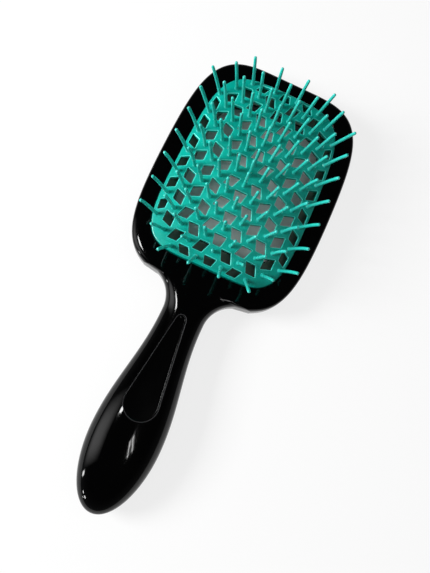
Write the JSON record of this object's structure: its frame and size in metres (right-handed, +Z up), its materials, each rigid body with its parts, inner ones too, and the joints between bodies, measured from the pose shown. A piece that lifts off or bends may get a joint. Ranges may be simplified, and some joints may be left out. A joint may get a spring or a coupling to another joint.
{
  "type": "detangling hair brush",
  "caption": "Detangling hair brush: a glossy two-shell frame with a swelling handle clamps a domed, open lattice pad whose long pins fan outward.",
  "frame": {"origin": "bottom of the brush under the middle of its length and width, in the plane of the flat rear rim that it lies on", "axes": "+Z up through the pad and its pins, +Y along the brush from the handle's end to the top of the head, +X across the head"},
  "size_m": [0.086, 0.2188, 0.0401],
  "materials": {
    "shell": "black injection-moulded plastic with a high gloss",
    "pad": "mint teal flexible plastic with a soft satin sheen"
  },
  "bodies": {
    "root": {"front_shell": "shell", "back_shell": "shell", "pin_pad": "pad"}
  },
  "joints": []
}
